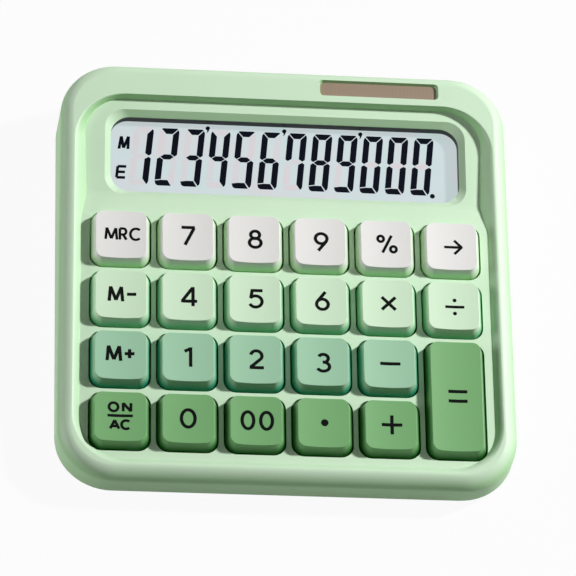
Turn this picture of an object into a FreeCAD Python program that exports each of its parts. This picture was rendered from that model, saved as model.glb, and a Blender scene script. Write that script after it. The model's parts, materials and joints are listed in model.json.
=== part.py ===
import FreeCAD, Part
import Sketcher
import math
import os
import re

# A square desktop calculator: wedge case, spring keys, a liquid-crystal display and a solar cell.
# Millimetres. World frame: +Z up, front towards -Y, origin under the middle on the surface it stands on.
# The deck frame lies on the key deck, tilted back by the wedge angle; most pieces are drawn in it.

SIZES = {
    # key caps
    "cap_size": 18.0,
    "cap_top_size": 15.2,
    "cap_corner": 3.6,
    "cap_rise": 3.54,
    "cap_skirt": 2.6,
    "cap_wall": 1.6,
    "cap_ceiling": 1.4,
    "cap_dish": 0.35,
    "cap_edge": 0.6,
    "key_gap_x": 2.0,
    "key_gap_y": 1.75,
    "key_clearance": 0.3,
    "key_travel": 2.5,
    # key switches
    "housing_clearance": 0.4,
    "housing_drop": 2.4,
    "housing_floor": 0.8,
    "housing_lip": 0.6,
    "stem_diameter": 5.8,
    "stem_clearance": 0.2,
    "flange_step": 0.7,
    "flange_height": 0.75,
    "flange_gap": 0.15,
    "bottom_gap": 0.2,
    "cross_span": 4.0,
    "cross_width": 1.2,
    "cross_gap": 0.2,
    "socket_clearance": 0.05,
    "dome_foot": 4.2,
    "dome_top": 3.4,
    "dome_wall": 0.5,
    "dome_clearance": 0.2,
    # circuit board
    "board_thickness": 1.2,
    "board_margin": 1.0,
    "board_gap": 0.45,
    "board_corner": 2.0,
    "chip_diameter": 12.0,
    "chip_height": 1.2,
    # upper case
    "side_margin": 9.3,
    "front_margin": 9.2,
    "display_gap": 9.25,
    "window_back_gap": 5.2,
    "side_rim": 4.1,
    "back_rim": 11.45,
    "rim_height": 2.0,
    "case_corner": 17.0,
    "recess_corner": 13.2,
    "recess_slope": 45.0,
    "back_slope": 20.0,
    "crest_radius": 0.8,
    "rim_flat": 0.5,
    "base_edge": 2.0,
    "case_draft": 1.5,
    "case_wall": 3.0,
    "deck_thickness": 2.0,
    "wedge_angle": 5.5,
    # display
    "window_width": 107.2,
    "window_length": 24.9,
    "window_offset": 0.65,
    "window_corner": 5.5,
    "bevel_width": 1.8,
    "bevel_depth": 1.7,
    "facet_drop": 2.2,
    "facet_lead": 1.9,
    "facet_tilt": 2.6,
    "ramp_length": 9.0,
    "ramp_radius": 8.0,
    "frame_border": 3.0,
    "lcd_depth": 4.9,
    "lcd_glass": 1.1,
    "lcd_ledge": 2.5,
    "ribbon_width": 70.0,
    "ribbon_thickness": 0.2,
    "ribbon_lap": 2.3,
    "ribbon_bend": 0.2,
    # solar cell
    "solar_width": 36.1,
    "solar_length": 4.5,
    "solar_corner": 0.6,
    "solar_sink": 1.1,
    "solar_bevel": 0.9,
    "solar_lap": 1.2,
    "solar_glass": 1.1,
    "solar_clearance": 0.15,
    "solar_offset": 29.25,
    "solar_back": 7.25,
    # base cover
    "cover_thickness": 2.0,
    "cover_clearance": 0.25,
    "foot_diameter": 11.0,
    "foot_height": 1.2,
    "foot_socket": 0.7,
    "foot_clearance": 0.1,
    "foot_inset": 19.0,
    # screws
    "screw_diameter": 2.0,
    "screw_length": 6.0,
    "screw_clearance": 0.05,
    "head_diameter": 3.8,
    "head_height": 1.1,
    "head_clearance": 0.3,
    "head_sink": 0.1,
    "driver_slot": 0.6,
    "driver_span": 2.3,
    "hole_room": 0.15,
    "case_boss": 5.5,
    "board_boss": 4.4,
    "front_boss_inset": 6.2,
    "back_boss_inset": 9.7,
    # battery and its door
    "battery_diameter": 10.5,
    "battery_length": 44.5,
    "nub_diameter": 3.8,
    "nub_height": 0.8,
    "bay_gap": 0.95,
    "bay_clearance": 0.4,
    "bay_wall": 1.4,
    "bay_height": 6.5,
    "contact_thickness": 0.4,
    "contact_width": 8.0,
    "contact_spring": 2.7,
    "door_thickness": 1.2,
    "door_lap": 3.0,
    "door_end_lap": 1.5,
    "door_bevel": 0.7,
    "door_clearance": 0.15,
    "door_travel": 8.0,
    "grip_width": 1.2,
    "grip_depth": 0.4,
    "grip_length": 14.0,
}

# Keys by row from the back; the last key of the third row is two rows tall.
KEY_ROWS = [
    ["mrc", "7", "8", "9", "percent", "arrow"],
    ["m_minus", "4", "5", "6", "times", "divide"],
    ["m_plus", "1", "2", "3", "minus", "equals"],
    ["on_ac", "0", "00", "point", "plus"],
]
TALL_KEY = "equals"
ROWS = len(KEY_ROWS)
COLUMNS = len(KEY_ROWS[0])

# Sizes that follow from the ones above.
LAYOUT = {
    "pitch_x": "cap_size + key_gap_x",
    "pitch_y": "cap_size + key_gap_y",
    "tall_length": "cap_size + pitch_y",
    "grid_width": f"{COLUMNS} * pitch_x - key_gap_x",
    "grid_length": f"{ROWS} * pitch_y - key_gap_y",
    "case_width": "grid_width + 2 * side_margin",
    "case_length": "front_margin + grid_length + display_gap + window_length + window_back_gap + back_rim",
    "grid_front": "front_margin - case_length / 2",
    "window_front": "grid_front + grid_length + display_gap",
    "window_middle": "window_front + window_length / 2",
    "facet_front": "window_front - facet_lead",
    "ramp_start": "facet_front - ramp_length",
    "shoulder_radius": "side_rim - rim_flat",
    "recess_width": "case_width - 2 * side_rim",
    "recess_length": "case_length - side_rim - back_rim",
    "recess_drop": "rim_height + 2 * facet_drop",
    "side_run": "recess_drop * tan(recess_slope)",
    "back_run": "recess_drop * tan(back_slope)",
    "cap_hollow": "cap_size - 2 * cap_wall",
    "cap_taper": "atan((cap_size - cap_top_size) / 2 / cap_rise)",
    "dish_radius": "cap_dish / 2 + cap_top_size * cap_top_size / 8 / cap_dish",
    "ceiling_level": "cap_rise - cap_ceiling",
    "hollow_corner": "cap_corner - cap_wall / 2",
    "housing_size": "cap_hollow - 2 * housing_clearance",
    "housing_corner": "hollow_corner - housing_clearance",
    "housing_height": "housing_floor + bottom_gap + key_travel + flange_height + flange_gap + housing_lip",
    "housing_foot": "-housing_drop - housing_height",
    "flange_diameter": "stem_diameter + 2 * flange_step",
    "stem_foot": "housing_foot + housing_floor + bottom_gap + key_travel",
    "stem_shoulder": "key_travel + bottom_gap - housing_drop",
    "cross_height": "ceiling_level - stem_shoulder - cross_gap",
    "seat_diameter": "dome_foot + 2 * dome_clearance",
    "chamber_floor": "housing_foot + housing_floor",
    "seat_level": "stem_shoulder - housing_lip",
    "dome_height": "seat_level - chamber_floor",
    "board_front": "grid_front + cap_wall + housing_clearance - board_margin",
    "board_width": "grid_width - 2 * cap_wall",
    "lcd_width": "window_width + 2 * frame_border",
    "lcd_length": "window_length + 2 * frame_border",
    "lcd_front": "window_front - frame_border - lcd_ledge",
    "board_back": "lcd_front - board_margin",
    "board_foot": "housing_foot - board_thickness",
    "base_depth": "cover_thickness - board_front * sin(wedge_angle)"
                  " + (board_gap - board_foot) * cos(wedge_angle)",
    "deck_height": "base_depth + foot_height",
    "block_depth": "base_depth + case_length",
    "back_wall_foot": "base_edge - base_depth - case_length / 2 * sin(wedge_angle)",
    "deck_shift": "(rim_height - shoulder_radius + back_wall_foot) / 2 * sin(wedge_angle)"
                  " - (rim_height - shoulder_radius - back_wall_foot) / 2 * tan(case_draft)",
    "cover_top": "foot_height + cover_thickness",
    "bay_length": "battery_length + contact_spring + 2 * contact_thickness",
    "bay_width": "battery_diameter + 2 * bay_clearance",
    "battery_back": "case_wall + bay_gap + bay_wall + bay_clearance + battery_diameter / 2",
    "battery_y": "case_length / 2 - battery_back",
    "door_pocket": "door_thickness + door_clearance",
    "battery_level": "foot_height + door_pocket + bay_clearance / 2 + battery_diameter / 2",
    "door_width": "bay_length + 2 * door_lap",
    "door_length": "bay_width + 2 * door_end_lap",
}

doc = FreeCAD.newDocument("DesktopCalculator")
HOME = {name: "Sizes" for name in SIZES}
HOME.update({name: "Layout" for name in LAYOUT})


def formula(text):
    """Put the sheet's name before each size that the text mentions."""
    with_sheet = lambda found: f"{HOME[found[0]]}.{found[0]}" if found[0] in HOME else found[0]
    return re.sub(r"[a-z_]\w*", with_sheet, text)


def make_sheet(name, rows):
    sheet = doc.addObject("Spreadsheet::Sheet", name)
    for row, (alias, content) in enumerate(rows.items(), start=1):
        sheet.set(f"A{row}", alias)
        sheet.set(f"B{row}", content)
        sheet.setAlias(f"B{row}", alias)
    doc.recompute()
    return sheet


sizes = make_sheet("Sizes", {name: str(number) for name, number in SIZES.items()})
layout = make_sheet("Layout", {name: "=" + formula(text) for name, text in LAYOUT.items()})


def size(name):
    sheet = sizes if HOME[name] == "Sizes" else layout
    return float(sheet.get(name))


def bind(item, **properties):
    for name, text in properties.items():
        item.setExpression(name, formula(text))
    return item


def move(x=0.0, y=0.0, z=0.0):
    return FreeCAD.Placement(FreeCAD.Vector(x, y, z), FreeCAD.Rotation())


def turn(axis, angle):
    return FreeCAD.Placement(FreeCAD.Vector(), FreeCAD.Rotation(FreeCAD.Vector(*axis), angle))


X_AXIS = (1, 0, 0)
Y_AXIS = (0, 1, 0)
ALONG_X = turn(Y_AXIS, 90)
TOLERANCE = 0.01
DECK = move(0, size("deck_shift"), size("deck_height")) * turn(X_AXIS, size("wedge_angle"))


def facet_level(y):
    return (y - size("facet_front")) * math.tan(math.radians(size("facet_tilt"))) - size("facet_drop")


WINDOW_Y = size("window_middle")
WINDOW_MIDDLE = move(size("window_offset"), WINDOW_Y, facet_level(WINDOW_Y))
FACET = DECK * WINDOW_MIDDLE * turn(X_AXIS, size("facet_tilt"))


# Sketch and feature helpers


def new_body(name):
    return doc.addObject("PartDesign::Body", name)


def attach(body, sketch, role, offset):
    plane = next(item for item in body.Origin.OriginFeatures if item.Role == role)
    sketch.AttachmentSupport = [(plane, "")]
    sketch.MapMode = "FlatFace"
    if offset:
        sketch.setExpression("AttachmentOffset.Base.z", formula(offset))


def value(text):
    """The number that a formula comes to now."""
    probe = doc.addObject("App::FeaturePython", "Probe")
    probe.addProperty("App::PropertyFloat", "Number")
    bind(probe, Number=text)
    doc.recompute([probe])
    number = probe.Number
    doc.removeObject(probe.Name)
    return number


def rounded_sketch(body, name, width, length, radius, level=""):
    """A rounded rectangle centred on the body's origin, at a height above its XY plane."""
    sketch = body.newObject("Sketcher::SketchObject", name)
    attach(body, sketch, "XY_Plane", level)
    half_x, half_y, corner = value(width) / 2, value(length) / 2, value(radius)
    in_x, in_y = half_x - corner, half_y - corner
    turns = [(in_x, -in_y, 270), (in_x, in_y, 0), (-in_x, in_y, 90), (-in_x, -in_y, 180)]
    ends = [
        ((-in_x, -half_y), (in_x, -half_y)),
        ((half_x, -in_y), (half_x, in_y)),
        ((in_x, half_y), (-in_x, half_y)),
        ((-half_x, in_y), (-half_x, -in_y)),
    ]
    for (start, end), (x, y, angle) in zip(ends, turns):
        sketch.addGeometry(Part.LineSegment(FreeCAD.Vector(*start), FreeCAD.Vector(*end)))
        circle = Part.Circle(FreeCAD.Vector(x, y), FreeCAD.Vector(0, 0, 1), corner)
        sketch.addGeometry(Part.ArcOfCircle(circle, math.radians(angle), math.radians(angle + 90)))
    rules = [("Tangent", edge, 2, (edge + 1) % 8, 1) for edge in range(8)]
    rules += [("Horizontal", 0), ("Horizontal", 4), ("Vertical", 2), ("Vertical", 6)]
    rules += [("Equal", 1, 3), ("Equal", 1, 5), ("Equal", 1, 7), ("Symmetric", 1, 3, 5, 3, -1, 1)]
    for rule in rules:
        sketch.addConstraint(Sketcher.Constraint(*rule))
    for label, rule, text in (
        ("wide", ("DistanceX", 6, 1, 2, 1, 2 * half_x), width),
        ("long", ("DistanceY", 0, 1, 4, 1, 2 * half_y), length),
        ("corner", ("Radius", 1, corner), radius),
    ):
        sketch.renameConstraint(sketch.addConstraint(Sketcher.Constraint(*rule)), label)
        sketch.setExpression(f"Constraints.{label}", formula(text))
    return sketch


def circle_sketch(body, name, diameter, level=""):
    sketch = body.newObject("Sketcher::SketchObject", name)
    attach(body, sketch, "XY_Plane", level)
    sketch.addGeometry(Part.Circle(FreeCAD.Vector(), FreeCAD.Vector(0, 0, 1), value(diameter) / 2))
    sketch.addConstraint(Sketcher.Constraint("Coincident", 0, 3, -1, 1))
    across = sketch.addConstraint(Sketcher.Constraint("Diameter", 0, value(diameter)))
    sketch.renameConstraint(across, "across")
    sketch.setExpression("Constraints.across", formula(diameter))
    return sketch


def polygon_sketch(body, name, role, points):
    """A closed outline whose corners are pinned to formulas for their two coordinates."""
    sketch = body.newObject("Sketcher::SketchObject", name)
    attach(body, sketch, role, "")
    corners = [FreeCAD.Vector(value(u), value(v)) for u, v in points]
    for index, corner in enumerate(corners):
        sketch.addGeometry(Part.LineSegment(corner, corners[(index + 1) % len(corners)]))
    for index in range(len(corners)):
        sketch.addConstraint(Sketcher.Constraint("Coincident", index, 2, (index + 1) % len(corners), 1))
    for index, pair in enumerate(points):
        for kind, text, number in zip(("DistanceX", "DistanceY"), pair, corners[index]):
            pin = sketch.addConstraint(Sketcher.Constraint(kind, -1, 1, index, 1, number))
            sketch.renameConstraint(pin, f"{kind}{index}")
            sketch.setExpression(f"Constraints.{kind}{index}", formula(text))
    return sketch


def pad(body, sketch, length, taper="", down=False, both_ways=False):
    feature = body.newObject("PartDesign::Pad", sketch.Name + "Pad")
    feature.Profile = sketch
    feature.Reversed = down
    feature.Midplane = both_ways
    bind(feature, Length=length)
    if taper:
        bind(feature, TaperAngle=taper)
    return feature


def pocket(body, sketch, length, up=False):
    feature = body.newObject("PartDesign::Pocket", sketch.Name + "Pocket")
    feature.Profile = sketch
    feature.Reversed = up
    bind(feature, Length=length)
    return feature


def round_edges(body, base, radius, chosen):
    """A fillet on the edges of the base feature that the test chooses."""
    doc.recompute()
    names = [f"Edge{number}" for number, edge in enumerate(base.Shape.Edges, start=1) if chosen(edge)]
    feature = body.newObject("PartDesign::Fillet", body.Name + "Fillet")
    feature.Base = (base, names)
    bind(feature, Radius=radius)
    body.Tip = feature
    return feature


def box(name, width, length, height, place):
    item = doc.addObject("Part::Box", name)
    bind(item, Length=width, Width=length, Height=height)
    item.Placement = place
    return item


def centred_box(name, width, length, height, place):
    return box(name, width, length, height, place * move(-value(width) / 2, -value(length) / 2))


def cylinder(name, diameter, height, place):
    item = doc.addObject("Part::Cylinder", name)
    bind(item, Radius=f"({diameter}) / 2", Height=height)
    item.Placement = place
    return item


def join(name, *items):
    result = doc.addObject("Part::MultiFuse", name)
    result.Shapes = items
    return result


def cut(name, base, *tools):
    """The base less each tool in turn."""
    for number, tool in enumerate(tools, start=1):
        result = doc.addObject("Part::Cut", name if number == len(tools) else f"{name}Cut{number}")
        result.Base = base
        result.Tool = tool
        base = result
    return base


def common(name, first, second):
    result = doc.addObject("Part::Common", name)
    result.Base = first
    result.Tool = second
    return result


def copies(name, master, places):
    """One node of separate equal solids, each a copy of the master at its own place."""
    doc.recompute()
    group = doc.addObject("Part::Feature", name)
    group.Shape = Part.makeCompound([master.Shape.transformed(place.toMatrix()) for place in places])
    return group


def box_of_world(name, bottom, top):
    """A slab over the whole plan between two heights."""
    side = "2 * case_length + 2 * case_width"
    return centred_box(name, side, side, f"({top}) - ({bottom})", move(0, 0, value(bottom)))


# Key positions, in the deck frame


def key_place(row, column):
    x = (column - (COLUMNS - 1) / 2) * size("pitch_x")
    y = size("grid_front") + size("cap_size") / 2 + (ROWS - 1 - row) * size("pitch_y")
    return x, y


KEYS = {
    name: key_place(row, column)
    for row, names in enumerate(KEY_ROWS)
    for column, name in enumerate(names)
}
SWITCHES = {name: [place] for name, place in KEYS.items()}
SWITCHES[TALL_KEY].append((KEYS[TALL_KEY][0], KEYS[TALL_KEY][1] - size("pitch_y")))
SWITCH_PLACES = [DECK * move(*place) for places in SWITCHES.values() for place in places]


# Key caps and the switches under them


def key_cap(name, length, sockets):
    """A tapered cap with a hollow skirt, a dished top and a cross socket over each switch."""
    body = new_body("key_" + name)
    outline = rounded_sketch(body, "Outline", "cap_size", length, "cap_corner")
    pad(body, outline, "cap_rise", taper="-cap_taper")
    pad(body, outline, "cap_skirt", down=True)
    hollow_length = f"{length} - 2 * cap_wall"
    hollow = rounded_sketch(body, "Hollow", "cap_hollow", hollow_length, "hollow_corner", "-cap_skirt")
    pocket(body, hollow, "cap_skirt + ceiling_level", up=True)
    dish = body.newObject("PartDesign::SubtractiveCylinder", "Dish")
    bind(dish, Radius="dish_radius", Height=f"2 * ({length})")
    dish_middle = size("cap_rise") - size("cap_dish") + size("dish_radius")
    dish.Placement = move(0, value(length), dish_middle) * turn(X_AXIS, 90)
    top = lambda edge: edge.BoundBox.ZMin > size("cap_rise") - size("cap_dish") - size("cap_edge") / 2
    round_edges(body, dish, "cap_edge", top)
    for offset in sockets:
        socket_post(body, offset)
    return body


def socket_post(body, offset):
    """The round post under the cap's ceiling, with its cross-shaped socket."""
    post = circle_sketch(body, "Post", "stem_diameter", "stem_shoulder")
    post.AttachmentOffset = move(0, offset, size("stem_shoulder"))
    pad(body, post, "ceiling_level - stem_shoulder")
    for sides in (("cross_span", "cross_width"), ("cross_width", "cross_span")):
        width, length = (f"{side} + 2 * socket_clearance" for side in sides)
        slot = rounded_sketch(body, "Slot", width, length, "socket_clearance", "stem_shoulder")
        slot.AttachmentOffset = move(0, offset, size("stem_shoulder"))
        body.Tip = pocket(body, slot, "ceiling_level - stem_shoulder", up=True)


def switch_stem(name, place):
    """A plunger: flange held under the housing's lip, round shaft, cross on top, dome seat below."""
    here = DECK * move(*place)
    foot = here * move(0, 0, size("stem_foot"))
    shoulder = here * move(0, 0, size("stem_shoulder"))
    stem = join(
        name + "_solid",
        cylinder(name + "_flange", "flange_diameter", "flange_height", foot),
        cylinder(name + "_shaft", "stem_diameter", "stem_shoulder - stem_foot", foot),
        centred_box(name + "_cross_x", "cross_span", "cross_width", "cross_height", shoulder),
        centred_box(name + "_cross_y", "cross_width", "cross_span", "cross_height", shoulder),
    )
    return cut(name, stem, cylinder(name + "_seat", "seat_diameter", "seat_level - stem_foot", foot))


def switch_housing():
    """A square box with a floor, a round chamber for the flange and a lip that keeps the stem in."""
    block = new_body("housing_block")
    sides = ("housing_size", "housing_size", "housing_corner")
    pad(block, rounded_sketch(block, "Outline", *sides, "housing_foot"), "housing_height")
    above_floor = move(0, 0, size("chamber_floor"))
    chamber = cylinder(
        "housing_chamber",
        "flange_diameter + 2 * stem_clearance",
        "housing_height - housing_floor - housing_lip",
        above_floor,
    )
    mouth = cylinder("housing_mouth", "stem_diameter + 2 * stem_clearance", "housing_height", above_floor)
    return cut("housing_master", block, chamber, mouth)


def cone(name, lower, upper, height, place):
    item = doc.addObject("Part::Cone", name)
    bind(item, Radius1=f"({lower}) / 2", Radius2=f"({upper}) / 2", Height=height)
    item.Placement = place
    return item


def rubber_dome():
    """A hollow rubber cone that buckles when pressed, from the chamber's floor up to the stem's seat."""
    foot = move(0, 0, size("chamber_floor"))
    skin = cone("dome_skin", "dome_foot", "dome_top", "dome_height", foot)
    hollow = cone(
        "dome_hollow",
        "dome_foot - 2 * dome_wall",
        "dome_top - 2 * dome_wall",
        "dome_height - dome_wall",
        foot,
    )
    return cut("dome_master", skin, hollow)


def make_keys():
    nodes = []
    for name in KEYS:
        tall = name == TALL_KEY
        middle_y = sum(y for _, y in SWITCHES[name]) / len(SWITCHES[name])
        cap = key_cap(name, "tall_length" if tall else "cap_size", [y - middle_y for _, y in SWITCHES[name]])
        cap.Placement = DECK * move(KEYS[name][0], middle_y)
        nodes.append(cap)
        stems = [switch_stem(f"stem_{name}_{number}", place) for number, place in enumerate(SWITCHES[name])]
        stem = doc.addObject("Part::Compound", "stem_" + name)
        stem.Links = stems
        nodes.append(stem)
    nodes.append(copies("switch_housings", switch_housing(), SWITCH_PLACES))
    nodes.append(copies("rubber_domes", rubber_dome(), SWITCH_PLACES))
    return nodes


# Screws and the bosses they bite into


def deck_point(x, y):
    """Where a point of the deck lies in the world's plan."""
    return DECK.multVec(FreeCAD.Vector(x, y, 0))


def case_screw_places():
    """Feet of the four upright screws that hold the base cover, two in front and two at the back."""
    front_x = 2 * size("pitch_x")
    back_x = size("case_width") / 2 - size("back_boss_inset")
    half_length = size("case_length") / 2
    points = [(side * front_x, size("front_boss_inset") - half_length) for side in (-1, 1)]
    points += [(side * back_x, half_length - size("back_boss_inset")) for side in (-1, 1)]
    seats = [deck_point(*point) for point in points]
    level = size("foot_height") + size("head_sink") + size("head_height")
    return [move(seat.x, seat.y, level) for seat in seats]


def board_screw_places():
    """Feet of the four screws that hold the board, each between the corners of four caps."""
    rows_y = [KEYS[names[0]][1] - size("pitch_y") / 2 for names in KEY_ROWS[:-1]]
    points = [(side * 2 * size("pitch_x"), rows_y[0]) for side in (-1, 1)]
    points += [(side * size("pitch_x"), rows_y[2]) for side in (-1, 1)]
    return [DECK * move(x, y, size("board_foot")) for x, y in points]


def make_screws():
    shank = cylinder("screw_shank", "screw_diameter", "screw_length", move())
    head = cylinder("screw_head", "head_diameter", "head_height", move(0, 0, -size("head_height")))
    slot_depth = "head_height / 2"
    bottom = move(0, 0, -size("head_height"))
    slots = [
        centred_box("driver_x", "driver_span", "driver_slot", slot_depth, bottom),
        centred_box("driver_y", "driver_slot", "driver_span", slot_depth, bottom),
    ]
    master = cut("screw_master", join("screw_blank", shank, head), *slots)
    return copies("screws", master, case_screw_places() + board_screw_places())


# Upper case


def case_block(name, inset):
    """A block with the case's plan, inset from its walls, that flares a little from the rim down."""
    body = new_body(name)
    sides = (f"case_width - 2 * ({inset})", f"case_length - 2 * ({inset})", f"case_corner - ({inset})")
    outline = rounded_sketch(body, "Outline", *sides, "rim_height")
    pad(body, outline, "block_depth", taper="case_draft", down=True)
    body.Placement = DECK
    return body


def outer_block():
    """The case's outside: rounded shoulder on top, flat base, rounded lower edge."""
    block = case_block("case_solid", "0")
    on_top = lambda edge: edge.BoundBox.ZMin > size("rim_height") - TOLERANCE
    round_edges(block, block.Tip, "shoulder_radius", on_top)
    above_base = box_of_world("above_base", "foot_height", "foot_height + block_depth")
    standing = common("case_standing", block, above_base)
    doc.recompute()
    lower = [
        (number, size("base_edge"), size("base_edge"))
        for number, edge in enumerate(standing.Shape.Edges, start=1)
        if edge.BoundBox.ZMax < size("foot_height") + TOLERANCE
    ]
    rounded = doc.addObject("Part::Fillet", "case_rounded")
    rounded.Base = standing
    rounded.Edges = lower
    return rounded


def floor_region(name, drop, far, radius=""):
    """The space over the deck, the ramp and the display facet, or under them when the far side is below."""
    body = new_body(name)
    back = "case_length"
    facet = f"(({back}) - facet_front) * tan(facet_tilt) - facet_drop - ({drop})"
    points = [
        ("-case_length", f"-({drop})"),
        ("ramp_start", f"-({drop})"),
        ("facet_front", f"-facet_drop - ({drop})"),
        (back, facet),
        (back, far),
        ("-case_length", far),
    ]
    sketch = polygon_sketch(body, "Profile", "YZ_Plane", points)
    slab = pad(body, sketch, "2 * case_width", both_ways=True)
    if radius:
        kinks = (size("ramp_start"), size("facet_front"))
        along_x = lambda edge: edge.BoundBox.YLength < TOLERANCE and any(
            abs(edge.BoundBox.YMin - kink) < TOLERANCE for kink in kinks
        )
        round_edges(body, slab, radius, along_x)
    body.Placement = DECK
    return body


def recess():
    """The tray that the keys and display lie in: sloping walls, steeper at the back, down to its floor."""
    body = new_body("recess_walls")
    crest = rounded_sketch(body, "Crest", "recess_width", "recess_length", "recess_corner", "rim_height")
    foot = rounded_sketch(
        body,
        "Foot",
        "recess_width - 2 * side_run",
        "recess_length - side_run - back_run",
        "recess_corner - side_run",
        "rim_height - recess_drop",
    )
    foot.setExpression("AttachmentOffset.Base.y", formula("(side_run - back_run) / 2"))
    walls = body.newObject("PartDesign::AdditiveLoft", "Walls")
    walls.Profile = crest
    walls.Sections = [foot]
    walls.Ruled = True
    body.Placement = DECK * move(0, (size("side_rim") - size("back_rim")) / 2)
    return common("recess", body, floor_region("above_deck", "0", "4 * rim_height", "ramp_radius"))


def boss_posts():
    """Posts under the deck: four for the cover's screws, four for the board's."""
    doc.recompute()
    upright = cylinder("case_boss_master", "case_boss", "block_depth", move())
    hung = cylinder("board_boss_master", "board_boss", "block_depth", move())
    from_cover = [move(*place.Base[:2], size("cover_top")) for place in case_screw_places()]
    from_board = [place * move(0, 0, size("board_thickness")) for place in board_screw_places()]
    return copies("case_bosses", upright, from_cover), copies("board_bosses", hung, from_board)


def screw_holes():
    """Blind holes in the posts, a little longer than the screws."""
    hole = cylinder("screw_hole", "screw_diameter + 2 * screw_clearance", "screw_length + hole_room", move())
    return copies("screw_holes", hole, case_screw_places() + board_screw_places())


def key_openings():
    """Through holes in the deck, one round each cap."""
    masters = {}
    for tall, length in ((False, "cap_size"), (True, "tall_length")):
        body = new_body("opening_tall" if tall else "opening")
        outline = rounded_sketch(
            body,
            "Outline",
            "cap_size + 2 * key_clearance",
            f"{length} + 2 * key_clearance",
            "cap_corner + key_clearance",
            "-2 * deck_thickness - facet_drop",
        )
        pad(body, outline, "4 * deck_thickness + facet_drop")
        masters[tall] = body
    square = [DECK * move(*place) for name, place in KEYS.items() if name != TALL_KEY]
    tall_x, tall_y = KEYS[TALL_KEY]
    tall_place = DECK * move(tall_x, tall_y - size("pitch_y") / 2)
    return copies("openings", masters[False], square), copies("tall_openings", masters[True], [tall_place])


def window_cut():
    """The display window: a straight hole and a bevel down to it, square to the display facet."""
    hole = new_body("window_hole")
    outline = ("window_width", "window_length", "window_corner")
    pad(hole, rounded_sketch(hole, "Window", *outline, "-2 * lcd_depth"), "4 * lcd_depth")
    bevel = new_body("window_bevel")
    mouth = rounded_sketch(
        bevel,
        "Mouth",
        "window_width + 2 * bevel_width",
        "window_length + 2 * bevel_width",
        "window_corner + bevel_width",
    )
    pad(bevel, mouth, "bevel_depth", taper="-atan(bevel_width / bevel_depth)", down=True)
    for body in (hole, bevel):
        body.Placement = FACET
    return hole, bevel


def solar_place():
    middle_y = size("case_length") / 2 - size("solar_back")
    return DECK * move(size("solar_offset"), middle_y, size("rim_height"))


def solar_cut():
    """A bevelled slot in the back rim, and the seat under it that the cell is glued into."""
    slot = new_body("solar_slot")
    mouth = rounded_sketch(
        slot,
        "Mouth",
        "solar_width + 2 * solar_bevel",
        "solar_length + 2 * solar_bevel",
        "solar_corner + solar_bevel",
    )
    pad(slot, mouth, "solar_sink", taper="-atan(solar_bevel / solar_sink)", down=True)
    slot.Placement = solar_place()
    depth = "rim_height + facet_drop + deck_thickness"
    seat = centred_box(
        "solar_seat",
        "solar_width + 2 * solar_lap + 2 * solar_clearance",
        "solar_length + 2 * solar_lap + 2 * solar_clearance",
        depth,
        solar_place() * move(0, 0, -size("solar_sink") - value(depth)),
    )
    return slot, seat


def crest_edges(shape):
    """The rim's inner edge, where the sloping walls of the recess begin."""
    to_deck = DECK.inverse().toMatrix()
    inner_x = size("case_width") / 2 - size("side_rim")
    for number, edge in enumerate(shape.Edges, start=1):
        bounds = edge.copy().transformed(to_deck).BoundBox
        level = min(abs(bounds.ZMin - size("rim_height")), abs(bounds.ZMax - size("rim_height")))
        flat = bounds.ZLength < TOLERANCE and level < TOLERANCE
        if flat and max(abs(bounds.XMin), abs(bounds.XMax)) < inner_x + TOLERANCE:
            if bounds.YMin > size("side_rim") - size("case_length") / 2 - TOLERANCE:
                if bounds.YMax < size("case_length") / 2 - size("back_rim") + TOLERANCE:
                    yield number


def make_top_case():
    tray = cut("case_tray", outer_block(), recess())
    doc.recompute()
    soft = doc.addObject("Part::Fillet", "case_soft")
    soft.Base = tray
    soft.Edges = [(number, size("crest_radius"), size("crest_radius")) for number in crest_edges(tray.Shape)]
    inside = case_block("case_inside", "case_wall")
    room = common("case_room", inside, floor_region("under_deck", "deck_thickness", "-2 * block_depth"))
    cavity = cut("case_cavity", room, *boss_posts())
    return cut("top_case", soft, cavity, *key_openings(), *window_cut(), *solar_cut(), screw_holes())


# Display, solar cell and circuit board


def make_display():
    frame = new_body("display_frame")
    outer = rounded_sketch(
        frame, "Outer", "lcd_width", "lcd_length", "window_corner + frame_border", "-deck_thickness"
    )
    pad(frame, outer, "lcd_depth - deck_thickness", down=True)
    outline = ("window_width", "window_length", "window_corner")
    inner = rounded_sketch(frame, "Inner", *outline, "-deck_thickness")
    frame.Tip = pocket(frame, inner, "lcd_depth")
    frame.Placement = FACET
    upper_foot = FACET * move(0, 0, -size("lcd_depth") - size("lcd_glass"))
    lower_foot = upper_foot * move(0, -size("lcd_ledge") / 2, -size("lcd_glass"))
    panel = join(
        "lcd_panel",
        centred_box("upper_glass", "lcd_width", "lcd_length", "lcd_glass", upper_foot),
        centred_box("lower_glass", "lcd_width", "lcd_length + lcd_ledge", "lcd_glass", lower_foot),
    )
    return [frame, panel]


def make_ribbon():
    """A flat film that carries the display's lines from the board's back edge to the glass ledge."""
    body = new_body("display_ribbon")
    ledge_y = "lcd_front + lcd_glass / 2"
    ledge = f"(({ledge_y}) - facet_front) * tan(facet_tilt) - facet_drop - lcd_depth - lcd_glass"
    far_y = "lcd_front + ribbon_lap"
    far = f"({ledge}) + (({far_y}) - ({ledge_y})) * tan(facet_tilt)"
    lower = [
        ("board_back - ribbon_lap", "housing_foot"),
        ("board_back + ribbon_bend", "housing_foot"),
        (ledge_y, f"{ledge} + socket_clearance"),
        (far_y, f"{far} + socket_clearance"),
    ]
    upper = [(y, f"({z}) + ribbon_thickness") for y, z in reversed(lower)]
    pad(body, polygon_sketch(body, "Profile", "YZ_Plane", lower + upper), "ribbon_width", both_ways=True)
    body.Placement = DECK
    return body


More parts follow.
